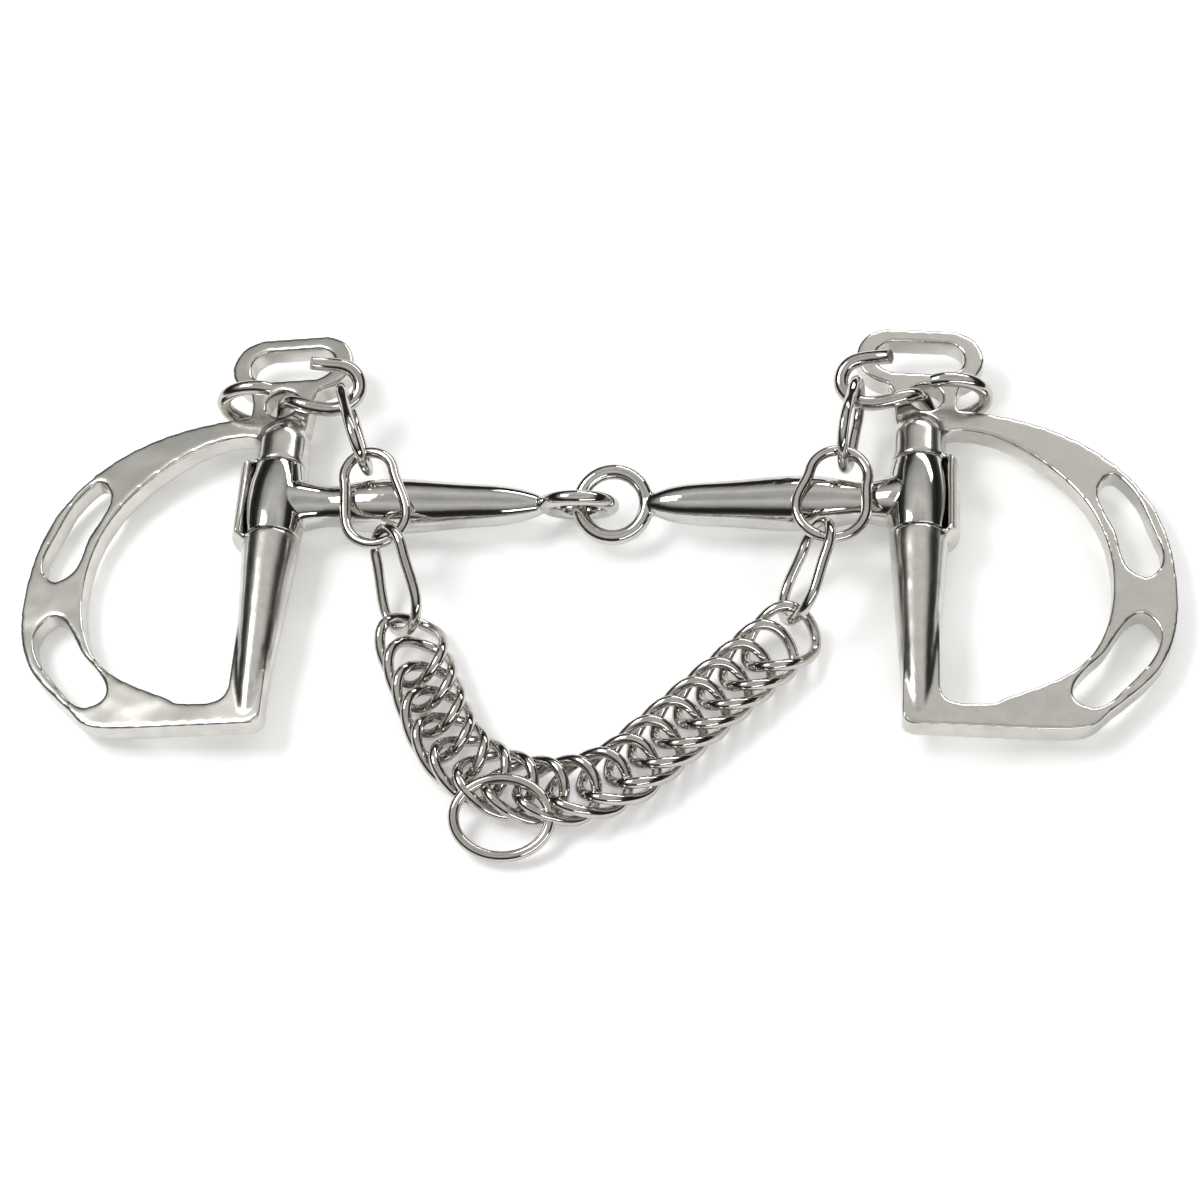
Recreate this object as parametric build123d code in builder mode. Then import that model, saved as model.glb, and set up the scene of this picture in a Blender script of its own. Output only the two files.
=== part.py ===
from build123d import *
import os
from math import cos, pi, radians, sin

# A jointed curb bit with slotted D cheeks, lying flat with its curb chain on the hooks.
# +X is to the right cheek, +Y to the headstall eyes, +Z up; the origin is under the middle of it all.

# Driving dimensions, mm
BAR_Y = 21.1             # the mouthpiece axis, so that the whole bit is centred on the origin
BAR_Z = 7.5              # the ferrules rest on the surface
CHEEK_X = 74.0           # from the middle to each cheek's hinge axis
DROOP = 5.0              # degrees that each cheek hangs outwards from level
PLATE = 5.5              # thickness of the cheek casting
POST_R = 6.4
FERRULE_R = 7.5
FERRULE_HALF = 9.6
POST_GAP = 0.3           # between the ferrule's ends and the posts
PIN_R = 2.5
PIN_RUNNING_GAP = 0.05
BAND_IN_R = 7.85
BAND_OUT_R = 9.3
BAND_HALF_ANGLE = 40.0
HOLE_U, HOLE_V, HOLE_R = 1.4, 28.0, 3.8
EYE_V = 39.4
RING_R = 7.7             # centre joint of the mouthpiece, to the middle of its wire
RING_WIRE_R = 1.8
RING_TILT = 22.0
RIGHT_RING_X = 4.4
LEFT_RING_X = -3.6
HOOK_WIRE_R = 1.7
CHAIN_WIRE_R = 1.25
FLY_WIRE_R = 0.85
LINK_HALF_LENGTH = 8.7   # double link, to the middle of its wire
LINK_HALF_WIDTH = 7.0
LINK_TWIST = 2.8
LINK_PITCH = 6.9
LINK_COUNT = 18
HALF_LOOP_SPANS = 8      # a double link's half loop is drawn in this many spans
BEND_STEPS = range(4, 12)
BEND = 14.2              # degrees between links along the bottom of the chain
FIRST_LINK = (-39.2, BAR_Y - 36.5)
FIRST_HEADING = -68.0

os.makedirs("parts", exist_ok=True)


def save(part, name):
    part.label = name
    export_step(part, f"parts/{name}.step")


def right_cheek_plane():
    """Middle of the right cheek's thickness: x outwards from the hinge axis, y to the eye."""
    tilt = radians(DROOP)
    return Plane(
        origin=(CHEEK_X, BAR_Y, BAR_Z),
        x_dir=(cos(tilt), 0, -sin(tilt)),
        z_dir=(sin(tilt), 0, cos(tilt)),
    )


def make_cheek():
    """The right cheek: one casting with eye, neck, two posts, D arm and guard band."""
    face = right_cheek_plane()

    with BuildPart() as cheek:
        # D arm, from the neck round to the foot of the lower post
        with BuildSketch(face):
            with BuildLine():
                arm = Spline(
                    (6.5, 25.0), (29.5, 20.3), (43.8, 11.5), (53.4, -2.0), (57.0, -21.0),
                    (51.4, -44.2), (40.5, -55.2), (26.0, -59.6),
                    tangents=[(1, -0.1), (-1, 0)],
                )
                foot = Line(arm @ 1, (-1.0, -59.6))
                corner = TangentArc(foot @ 1, (-3.6, -57.0), tangent=(-1, 0))
                Polyline(corner @ 1, (-3.6, 12.0), arm @ 0)
            make_face()
            # neck up to the eye, and the headstall eye
            with BuildLine():
                neck = Spline(
                    (-3.6, 12.0), (-5.6, 21.0), (-6.4, 28.0), (-9.5, 35.0),
                    tangents=[(0, 1), (-0.7, 1)],
                )
                throat = Spline((11.5, 35.0), (8.6, 28.5), (8.6, 21.0), tangents=[(-0.7, -1), (0, -1)])
                Line(neck @ 1, throat @ 0)
                Line(throat @ 1, neck @ 0)
            make_face()
            with Locations((0, EYE_V)):
                SlotOverall(29.6, 15.8)
            with Locations((0, EYE_V - 0.1)):
                SlotOverall(20.4, 9.0, mode=Mode.SUBTRACT)
            # the D's opening, bounded on its straight side by the post
            with BuildLine():
                rim = Spline(
                    (8.8, 18.8), (25.0, 13.0), (37.0, 0.8), (42.4, -14.2), (41.4, -31.2),
                    (32.0, -45.4), (17.4, -52.7), (9.0, -53.7),
                    tangents=[(1, 0), (-1, 0)],
                )
                heel = TangentArc(rim @ 1, (4.6, -49.3), tangent=(-1, 0))
                straight = Line(heel @ 1, (4.6, 14.6))
                TangentArc(straight @ 1, rim @ 0, tangent=(0, 1))
            make_face(mode=Mode.SUBTRACT)
            # two rein slots that follow the arm
            with BuildLine():
                Spline(
                    (44.4, 8.2), (48.9, 2.4), (52.2, -6.6), (53.6, -15.4), (50.4, -19.0),
                    (46.3, -16.6), (44.0, -8.2), (40.6, 0.2), (41.2, 6.6),
                    periodic=True,
                )
            make_face(mode=Mode.SUBTRACT)
            with BuildLine():
                Spline(
                    (50.2, -29.2), (52.8, -34.0), (50.6, -40.6), (44.2, -48.6), (37.2, -53.4),
                    (33.6, -51.2), (34.9, -45.6), (40.4, -39.2), (44.9, -31.8),
                    periodic=True,
                )
            make_face(mode=Mode.SUBTRACT)
            with Locations((HOLE_U, HOLE_V)):
                Circle(HOLE_R, mode=Mode.SUBTRACT)
        extrude(amount=PLATE / 2, both=True)

        # the ferrule turns in the gap between the posts
        with BuildSketch(face):
            with Locations((-6.0, 0)):
                Rectangle(12.0 + 2 * BAND_IN_R, 2 * (FERRULE_HALF + POST_GAP))
        extrude(amount=10, both=True, mode=Mode.SUBTRACT)

        # round posts, the upper one short and domed, the lower one a long taper
        top = FERRULE_HALF + POST_GAP
        with BuildSketch(face):
            with BuildLine():
                side = Line((POST_R, top), (POST_R - 0.2, 16.5))
                dome = ThreePointArc(side @ 1, (4.4, 21.4), (0, 23.6))
                Polyline(dome @ 1, (0, top), side @ 0)
            make_face()
            with BuildLine():
                Polyline(
                    (0, -top), (POST_R + 0.4, -top), (3.9, -49.0), (3.0, -56.2), (0, -56.8),
                    close=True,
                )
            make_face()
        revolve(axis=Axis(face.origin, face.y_dir), revolution_arc=360)

        # guard band round the ferrule's outer side, with a cheek down to each post
        with BuildSketch(face.rotated((0, BAND_HALF_ANGLE, 0))):
            with BuildLine():
                Polyline(
                    (4.0, top), (BAND_IN_R, top), (BAND_IN_R, -top), (4.0, -top), (4.0, -top - 2.4),
                    (BAND_OUT_R, -top), (BAND_OUT_R, top), (4.0, top + 2.4), close=True,
                )
            make_face()
        revolve(axis=Axis(face.origin, face.y_dir), revolution_arc=-2 * BAND_HALF_ANGLE)

        # bore for the hinge pin
        with Locations(Plane(origin=face.origin, x_dir=face.x_dir, z_dir=face.y_dir)):
            Cylinder(PIN_R, 2 * 16.0, mode=Mode.SUBTRACT)
    return cheek.part


def make_pin():
    """The right cheek's hinge pin, pressed into both posts."""
    face = right_cheek_plane()
    with BuildPart() as pin:
        with BuildSketch(Plane(origin=face.origin, x_dir=face.x_dir, z_dir=face.y_dir)):
            Circle(PIN_R)
        extrude(amount=16.0, both=True)
    return pin.part


def make_mouthpiece(side, ring_x, ring_tilt):
    """One half: ferrule on the hinge axis, cannon along X, and the centre eye."""
    cannon_end = ring_x + side * (RING_R - 0.6)
    with BuildPart() as half:
        # cannon, a turned bar with a waist beside the ferrule
        with BuildSketch(Plane(origin=(0, BAR_Y, BAR_Z), x_dir=(1, 0, 0), z_dir=(0, -1, 0))):
            with BuildLine():
                bar = Spline(
                    (cannon_end, 1.5), (side * 17.0, 3.9), (side * 30.0, 5.3), (side * 45.0, 6.4),
                    (side * 55.0, 5.7), (side * 62.0, 4.8), (side * 67.0, 5.9), (side * 70.0, 6.4),
                )
                Polyline(bar @ 1, (side * 70.0, 0), (cannon_end, 0), bar @ 0)
            make_face()
        revolve(axis=Axis((0, BAR_Y, BAR_Z), (1, 0, 0)), revolution_arc=360)
        # ferrule, a barrel round the hinge pin
        with BuildSketch(Plane(origin=(side * CHEEK_X, BAR_Y, BAR_Z), x_dir=(1, 0, 0), z_dir=(0, 0, 1))):
            with BuildLine():
                belly = ThreePointArc((6.5, -FERRULE_HALF), (FERRULE_R, 0), (6.5, FERRULE_HALF))
                Polyline(belly @ 1, (0, FERRULE_HALF), (0, -FERRULE_HALF), belly @ 0)
            make_face()
        revolve(axis=Axis((side * CHEEK_X, BAR_Y, BAR_Z), (0, 1, 0)), revolution_arc=360)
        with Locations(Plane(origin=(side * CHEEK_X, BAR_Y, BAR_Z), x_dir=(1, 0, 0), z_dir=(0, 1, 0))):
            Cylinder(PIN_R + PIN_RUNNING_GAP, 2 * FERRULE_HALF, mode=Mode.SUBTRACT)
        # centre eye, its plane turned about the bar
        tilt = radians(ring_tilt)
        eye_plane = Plane(
            origin=(ring_x, BAR_Y, BAR_Z), x_dir=(1, 0, 0), z_dir=(0, -sin(tilt), cos(tilt))
        )
        with Locations(eye_plane):
            Torus(RING_R, RING_WIRE_R)
    return half.part


def make_curb_hook(side):
    """A twisted S of wire: closed lobe round the neck's strip, open lobe towards the middle."""
    points = [
        (3.4, 28.0, 15.6), (9.0, 28.0, 16.2), (14.4, 28.0, 12.8), (15.2, 28.0, 8.2), (12.2, 28.0, 3.6),
        (8.0, 28.0, 1.95), (3.5, 28.0, 2.8), (1.5, 27.9, 7.0), (-0.4, 27.2, 11.4), (-4.0, 25.4, 13.0),
        (-9.0, 24.3, 12.6), (-14.4, 24.8, 12.8), (-17.8, 28.4, 14.2), (-16.4, 32.4, 16.0),
        (-11.5, 33.8, 17.0), (-6.5, 33.4, 18.2),
    ]
    with BuildPart() as hook:
        with BuildLine() as path:
            Spline([(side * (CHEEK_X + u), BAR_Y + y, z) for u, y, z in points])
        start = path.wires()[0]
        with BuildSketch(Plane(origin=start @ 0, z_dir=start % 0)):
            Circle(HOOK_WIRE_R)
        sweep()
    return hook.part


def make_end_link(top, bottom, roll, top_r, bottom_r):
    """A pear-shaped ring of wire between two points; roll turns it about its length."""
    top = Vector(*top) + Vector(0, BAR_Y, 0)
    bottom = Vector(*bottom) + Vector(0, BAR_Y, 0)
    along = (top - bottom).normalized()
    level = (Vector(1, 0, 0) - along * along.X).normalized()
    lift = level.cross(along)
    across = level * cos(radians(roll)) + lift * sin(radians(roll))
    plane = Plane(origin=(top + bottom) / 2, x_dir=along, z_dir=along.cross(across))
    half = (top - bottom).length / 2
    with BuildPart() as link:
        with BuildLine(plane) as path:
            big = CenterArc((bottom_r - half, 0), bottom_r, 90, 180)
            small = CenterArc((half - top_r, 0), top_r, -90, 180)
            Spline(big @ 1, small @ 0, tangents=[big % 1, small % 0])
            Spline(small @ 1, big @ 0, tangents=[small % 1, big % 0])
        ring = path.wires()[0]
        with BuildSketch(Plane(origin=ring @ 0, z_dir=ring % 0)):
            Circle(CHAIN_WIRE_R)
        sweep(path=ring)
    return link.part


def double_link_places():
    """Centre and heading of each double link along the chain, lying on the surface."""
    x, y = FIRST_LINK
    heading = FIRST_HEADING
    places = [(x, y, heading)]
    for step in range(1, LINK_COUNT):
        turn = BEND if step in BEND_STEPS else 0.0
        x += LINK_PITCH * cos(radians(heading + turn / 2))
        y += LINK_PITCH * sin(radians(heading + turn / 2))
        heading += turn
        places.append((x, y, heading))
    return places


def make_double_link():
    """A twisted oval of wire about the origin, its length along X."""
    def centre(angle):
        return (
            LINK_HALF_LENGTH * cos(angle),
            LINK_HALF_WIDTH * sin(angle),
            LINK_TWIST * sin(2 * angle),
        )

    def heading(angle):
        return (
            -LINK_HALF_LENGTH * sin(angle),
            LINK_HALF_WIDTH * cos(angle),
            2 * LINK_TWIST * cos(2 * angle),
        )

    # half the loop is swept, and the other half is the same turned about Z
    with BuildPart() as link:
        with BuildLine() as path:
            for k in range(HALF_LOOP_SPANS):
                start = pi * k / HALF_LOOP_SPANS
                end = pi * (k + 1) / HALF_LOOP_SPANS
                Spline(centre(start), centre(end), tangents=[heading(start), heading(end)])
        half = path.wires()[0]
        with BuildSketch(Plane(origin=half @ 0, z_dir=half % 0)):
            Circle(CHAIN_WIRE_R)
        sweep(path=half)
        add(link.part.rotate(Axis.Z, 180))
    return link.part


right_cheek = make_cheek()
save(right_cheek, "right_cheek")
save(mirror(right_cheek, about=Plane.YZ), "left_cheek")

right_pin = make_pin()
save(right_pin, "right_hinge_pin")
save(mirror(right_pin, about=Plane.YZ), "left_hinge_pin")

save(make_mouthpiece(1, RIGHT_RING_X, RING_TILT), "right_mouthpiece")
save(make_mouthpiece(-1, LEFT_RING_X, RING_TILT + 90.0), "left_mouthpiece")

save(make_curb_hook(1), "right_curb_hook")
save(make_curb_hook(-1), "left_curb_hook")

# End links from each hook down to the double links: top, bottom and roll
left_links = [
    ((-60.0, 28.4, 12.6), (-52.7, 5.9, 16.5), 99.0),
    ((-52.7, 8.9, 16.1), (-47.2, -14.2, 13.5), 4.0),
    ((-46.5, -11.6, 15.4), (-41.1, -32.0, 4.2), 49.5),
]
right_links = [
    ((60.4, 28.1, 13.0), (56.9, 6.1, 16.0), 91.5),
    ((57.4, 8.7, 15.5), (53.0, -13.3, 13.5), -5.0),
    ((53.4, -10.5, 15.2), (45.1, -29.8, 4.8), 64.0),
]
for number, (top, bottom, roll) in enumerate(left_links, start=1):
    save(make_end_link(top, bottom, roll, 5.8, 7.1), f"left_end_link_{number}")
for number, (top, bottom, roll) in enumerate(right_links, start=1):
    save(make_end_link(top, bottom, roll, 6.6, 7.9), f"right_end_link_{number}")

# Fly link, a plain oval ring through the double link at the bottom left of the chain
fly_plane = Plane(origin=(-15.8, BAR_Y - 78.8, 8.1), x_dir=(0.58, -0.79, 0.21), z_dir=(-0.49, -0.13, 0.86))
with BuildPart() as fly_link:
    with BuildLine(fly_plane) as path:
        oval = EllipticalCenterArc((0, 0), 10.6, 8.5)
    with BuildSketch(Plane(origin=oval @ 0, z_dir=oval % 0)):
        Circle(FLY_WIRE_R)
    sweep()
save(fly_link.part, "fly_link")

# Double links, all alike, laid along the chain's line
double_link = make_double_link()
link_z = LINK_TWIST + CHAIN_WIRE_R + 0.05
for number, (x, y, heading) in enumerate(double_link_places(), start=1):
    save(Pos(x, y, link_z) * Rot(0, 0, heading) * double_link, f"double_link_{number:02d}")
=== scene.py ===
from math import cos, pi, radians, sin

import bmesh
import bpy
from mathutils import Matrix, Vector


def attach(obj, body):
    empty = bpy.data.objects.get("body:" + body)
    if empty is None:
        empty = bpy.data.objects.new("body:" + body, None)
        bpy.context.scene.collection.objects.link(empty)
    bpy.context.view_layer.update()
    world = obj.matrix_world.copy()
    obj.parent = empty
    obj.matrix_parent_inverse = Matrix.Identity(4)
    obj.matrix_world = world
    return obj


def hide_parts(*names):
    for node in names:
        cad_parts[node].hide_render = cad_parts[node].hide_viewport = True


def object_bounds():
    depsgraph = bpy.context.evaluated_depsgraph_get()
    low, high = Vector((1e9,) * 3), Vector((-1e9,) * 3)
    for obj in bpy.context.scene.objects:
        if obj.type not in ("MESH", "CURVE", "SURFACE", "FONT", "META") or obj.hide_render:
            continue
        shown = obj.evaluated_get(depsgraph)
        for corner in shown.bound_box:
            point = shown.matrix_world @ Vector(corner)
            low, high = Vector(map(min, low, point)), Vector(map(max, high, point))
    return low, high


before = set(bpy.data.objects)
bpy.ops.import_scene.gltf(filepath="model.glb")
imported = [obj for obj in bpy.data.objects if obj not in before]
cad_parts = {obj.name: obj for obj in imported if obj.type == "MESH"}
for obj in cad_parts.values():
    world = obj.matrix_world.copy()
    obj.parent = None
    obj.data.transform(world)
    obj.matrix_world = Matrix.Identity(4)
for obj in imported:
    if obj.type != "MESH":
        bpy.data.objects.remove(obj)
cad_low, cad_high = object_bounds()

# A jointed curb bit lying flat on a white surface: satin cheeks, mirror-polished bars, bright chain.
# Units are metres; the frame is the CAD model's.

MM = 0.001
CHAIN_WIRE = 1.25 * MM          # radius of the chain's wire
FLOOR_GLOW = 0.28               # keeps the sweep near white in the soft shadows
ROOM_LIGHT = 0.85


# ---------------------------------------------------------------- materials

def node_material(name):
    material = bpy.data.materials.new(name)
    material.use_nodes = True
    tree = material.node_tree
    return material, tree, tree.nodes["Principled BSDF"]


def add_node(tree, kind, **inputs):
    node = tree.nodes.new(kind)
    for key, value in inputs.items():
        node.inputs[key.replace("_", " ")].default_value = value
    return node


def ramp(tree, source, low, high, at=(0.35, 0.65)):
    """A value or colour that follows a texture between two ends."""
    node = tree.nodes.new("ShaderNodeValToRGB")
    node.color_ramp.elements[0].position = at[0]
    node.color_ramp.elements[1].position = at[1]
    node.color_ramp.elements[0].color = low
    node.color_ramp.elements[1].color = high
    tree.links.new(source, node.inputs["Fac"])
    return node.outputs["Color"]


def steel(name, tint, rough, rough_spread, wave_scale, dent, brush_scale, brush):
    """Polished stainless steel: slow waves from hand polishing, fine brush lines and faint smears."""
    material, tree, shader = node_material(name)
    link = tree.links.new
    place = tree.nodes.new("ShaderNodeTexCoord").outputs["Object"]
    shader.inputs["Metallic"].default_value = 1.0
    shader.inputs["IOR"].default_value = 2.5

    smear = add_node(tree, "ShaderNodeTexNoise", Scale=wave_scale * 2.5, Detail=4.0, Roughness=0.6)
    link(place, smear.inputs["Vector"])
    dull = [c * 0.86 for c in tint]
    colour = ramp(tree, smear.outputs["Fac"], (*dull, 1), (*tint, 1))
    link(colour, shader.inputs["Base Color"])

    low = max(0.01, rough - rough_spread)
    high = rough + rough_spread
    grey = ramp(tree, smear.outputs["Fac"], (high, high, high, 1), (low, low, low, 1), at=(0.3, 0.7))
    link(grey, shader.inputs["Roughness"])

    wave = add_node(tree, "ShaderNodeTexNoise", Scale=wave_scale, Detail=1.5, Roughness=0.4)
    link(place, wave.inputs["Vector"])
    big = add_node(tree, "ShaderNodeBump", Strength=1.0, Distance=dent)
    link(wave.outputs["Fac"], big.inputs["Height"])

    stretch = tree.nodes.new("ShaderNodeMapping")
    stretch.inputs["Scale"].default_value = (1.0, 0.08, 1.0)
    link(place, stretch.inputs["Vector"])
    lines = add_node(tree, "ShaderNodeTexNoise", Scale=brush_scale, Detail=3.0, Roughness=0.7)
    link(stretch.outputs["Vector"], lines.inputs["Vector"])
    fine = add_node(tree, "ShaderNodeBump", Strength=1.0, Distance=brush)
    link(lines.outputs["Fac"], fine.inputs["Height"])
    link(big.outputs["Normal"], fine.inputs["Normal"])
    link(fine.outputs["Normal"], shader.inputs["Normal"])
    return material


# tint, roughness and its spread, scale and depth of the waves, scale and depth of the brush lines
CHEEK_FINISH = ((0.66, 0.65, 0.61), 0.20, 0.05, 70.0, 0.00050, 2600.0, 0.0000035)
BAR_FINISH = ((0.62, 0.61, 0.58), 0.07, 0.02, 60.0, 0.00012, 2200.0, 0.0000010)
WIRE_FINISH = ((0.58, 0.56, 0.53), 0.10, 0.03, 160.0, 0.00010, 2600.0, 0.0000010)
cheek_steel = steel("cheek_steel", *CHEEK_FINISH)
bar_steel = steel("bar_steel", *BAR_FINISH)
wire_steel = steel("wire_steel", *WIRE_FINISH)


# ---------------------------------------------------------------- mesh helpers

def rounded_copy(node, name, voxel, smoothing, material):
    """A finely remeshed copy of a CAD node with its sharp edges worn round, as on a polished casting."""
    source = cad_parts[node]
    piece = bpy.data.objects.new(name, source.data.copy())
    piece.matrix_world = source.matrix_world.copy()
    bpy.context.scene.collection.objects.link(piece)
    remesh = piece.modifiers.new("remesh", "REMESH")
    remesh.mode = "VOXEL"
    remesh.voxel_size = voxel
    smooth = piece.modifiers.new("smooth", "SMOOTH")
    smooth.factor = 0.5
    smooth.iterations = smoothing
    bpy.context.view_layer.update()
    shape = piece.evaluated_get(bpy.context.evaluated_depsgraph_get())
    mesh = bpy.data.meshes.new_from_object(shape)
    piece.modifiers.clear()
    piece.data = mesh
    mesh.materials.clear()
    mesh.materials.append(material)
    mesh.shade_smooth()
    return piece


def closed_wire(name, centre, radius, sides, material):
    """A round wire along a closed loop of points."""
    count = len(centre)
    mesh = bmesh.new()
    rings = []
    side = None
    for k, point in enumerate(centre):
        along = (centre[(k + 1) % count] - centre[k - 1]).normalized()
        if side is None:
            side = along.orthogonal().normalized()
        side = (side - along * side.dot(along)).normalized()
        up = along.cross(side)
        ring = []
        for s in range(sides):
            turn = 2 * pi * s / sides
            ring.append(mesh.verts.new(point + radius * (cos(turn) * side + sin(turn) * up)))
        rings.append(ring)
    # the last ring joins the first at the turn where they meet
    first, last = rings[0], rings[-1]
    shift = min(range(sides), key=lambda s: (first[s].co - last[0].co).length)
    for k, a in enumerate(rings):
        b = rings[(k + 1) % count]
        move = shift if k == count - 1 else 0
        for s in range(sides):
            t = (s + 1) % sides
            mesh.faces.new((a[s], a[t], b[(t + move) % sides], b[(s + move) % sides]))
    bmesh.ops.recalc_face_normals(mesh, faces=mesh.faces)
    data = bpy.data.meshes.new(name)
    mesh.to_mesh(data)
    mesh.free()
    data.materials.append(material)
    data.shade_smooth()
    piece = bpy.data.objects.new(name, data)
    bpy.context.scene.collection.objects.link(piece)
    return piece


# ---------------------------------------------------------------- the pieces

for node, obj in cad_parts.items():
    obj.data.materials.clear()
    obj.data.materials.append(wire_steel)
    obj.data.shade_smooth()

# name ending, voxel size in metres, smoothing passes, material and its slot
WORN_PIECES = {
    "cheek": ("cheek_cast", 0.35 * MM, 20, cheek_steel, "cheek_steel"),
    "mouthpiece": ("mouthpiece_polished", 0.30 * MM, 5, bar_steel, "bar_steel"),
}
for side in ("left", "right"):
    for part, (ending, voxel, smoothing, metal, slot) in WORN_PIECES.items():
        worn = rounded_copy(f"{side}_{part}", f"{side}_{ending}", voxel, smoothing, metal)
        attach(worn, f"{side}_{part}")
        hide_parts(f"{side}_{part}")

# the fly link hangs from the seventh double link and rests its front on the surface
FLY_CENTRE = Vector((-15.7, -58.8, 4.3)) * MM
FLY_LONG = Vector((1.0, -0.06, 0.0)) * 10.6 * MM
FLY_SHORT = Vector((0.06, 0.94, 0.35)) * 8.5 * MM
FLY_STEPS = 96
turns = [2 * pi * k / FLY_STEPS for k in range(FLY_STEPS)]
fly_line = [FLY_CENTRE + FLY_LONG * cos(t) + FLY_SHORT * sin(t) for t in turns]
fly = closed_wire("fly_link_wire", fly_line, CHAIN_WIRE, 20, wire_steel)
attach(fly, "double_link_07")
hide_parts("fly_link")


# ---------------------------------------------------------------- staging

floor_material, floor_tree, floor_shader = node_material("white_sweep")
grain = add_node(floor_tree, "ShaderNodeTexNoise", Scale=400.0, Detail=3.0)
floor_colour = ramp(floor_tree, grain.outputs["Fac"], (0.90, 0.90, 0.90, 1), (0.94, 0.94, 0.94, 1))
floor_tree.links.new(floor_colour, floor_shader.inputs["Base Color"])
floor_tree.links.new(floor_colour, floor_shader.inputs["Emission Color"])
floor_shader.inputs["Emission Strength"].default_value = FLOOR_GLOW
floor_shader.inputs["Roughness"].default_value = 0.9
bpy.ops.mesh.primitive_plane_add(size=6.0, location=(0, 0, cad_low.z - 0.0002))
floor = bpy.context.object
floor.name = "floor"
floor.data.materials.append(floor_material)


def soft_light(name, place, size, power):
    """A rectangular soft box that faces the origin."""
    lamp = bpy.data.lights.new(name, "AREA")
    lamp.shape = "RECTANGLE"
    lamp.size, lamp.size_y = size
    lamp.energy = power
    holder = bpy.data.objects.new(name, lamp)
    holder.location = place
    holder.rotation_euler = (-Vector(place)).to_track_quat("-Z", "Y").to_euler()
    bpy.context.scene.collection.objects.link(holder)


soft_light("key_light", (-0.45, 0.10, 0.75), (0.40, 0.30), 3.6)
soft_light("back_light", (0.30, 0.75, 0.50), (0.70, 0.12), 2.4)
soft_light("front_light", (0.35, -0.60, 0.30), (0.60, 0.10), 1.2)

# The room, by the height of the line of sight: a grey horizon, dark walls and a bright ceiling
ROOM = (
    (0.00, 0.25), (0.12, 0.05), (0.36, 0.02), (0.52, 0.06), (0.66, 0.55), (0.84, 0.95), (1.00, 0.50),
)
world = bpy.data.worlds.new("studio")
world.use_nodes = True
bpy.context.scene.world = world
sky = world.node_tree
glow = sky.nodes["Background"]
direction = sky.nodes.new("ShaderNodeTexCoord").outputs["Generated"]
sway = add_node(sky, "ShaderNodeTexNoise", Scale=1.6, Detail=1.0)
sky.links.new(direction, sway.inputs["Vector"])
split = sky.nodes.new("ShaderNodeSeparateXYZ")
sky.links.new(direction, split.inputs["Vector"])
SWAY = 0.30
shift = sky.nodes.new("ShaderNodeMath")
shift.operation = "MULTIPLY_ADD"
shift.inputs[1].default_value = SWAY
sky.links.new(sway.outputs["Fac"], shift.inputs[0])
sky.links.new(split.outputs["Z"], shift.inputs[2])
level_node = sky.nodes.new("ShaderNodeMath")
level_node.operation = "SUBTRACT"
level_node.inputs[1].default_value = SWAY / 2
sky.links.new(shift.outputs[0], level_node.inputs[0])
height = sky.nodes.new("ShaderNodeValToRGB")
stops = height.color_ramp.elements
while len(stops) < len(ROOM):
    stops.new(0.5)
for stop, (position, value) in zip(stops, ROOM):
    stop.position = position
    stop.color = (value, value * 0.99, value * 0.96, 1)
sky.links.new(level_node.outputs[0], height.inputs["Fac"])
sky.links.new(height.outputs["Color"], glow.inputs["Color"])
glow.inputs["Strength"].default_value = ROOM_LIGHT
bpy.context.scene.view_settings.view_transform = "Standard"


# ---------------------------------------------------------------- camera

AZIMUTH, ELEVATION, ROLL = 11.8, 56.5, -10.1     # degrees
DISTANCE = 0.706                                 # metres
LENS = 93.24                                     # millimetres
a, e, roll = radians(AZIMUTH), radians(ELEVATION), radians(ROLL)
forward = Vector((-sin(a) * cos(e), cos(a) * cos(e), -sin(e)))
level = Vector((cos(a), sin(a), 0))
upright = level.cross(forward)
right = cos(roll) * level + sin(roll) * upright
up = cos(roll) * upright - sin(roll) * level
camera_data = bpy.data.cameras.new("camera")
camera_data.sensor_width = 36.0
camera_data.lens = LENS
camera_data.clip_end = 20.0
camera = bpy.data.objects.new("camera", camera_data)
target = Vector((0.0019, 0.0, 0.0))
spot = target - DISTANCE * forward
camera.matrix_world = Matrix(
    (
        (right.x, up.x, -forward.x, spot.x),
        (right.y, up.y, -forward.y, spot.y),
        (right.z, up.z, -forward.z, spot.z),
        (0, 0, 0, 1),
    )
)
bpy.context.scene.collection.objects.link(camera)
bpy.context.scene.camera = camera
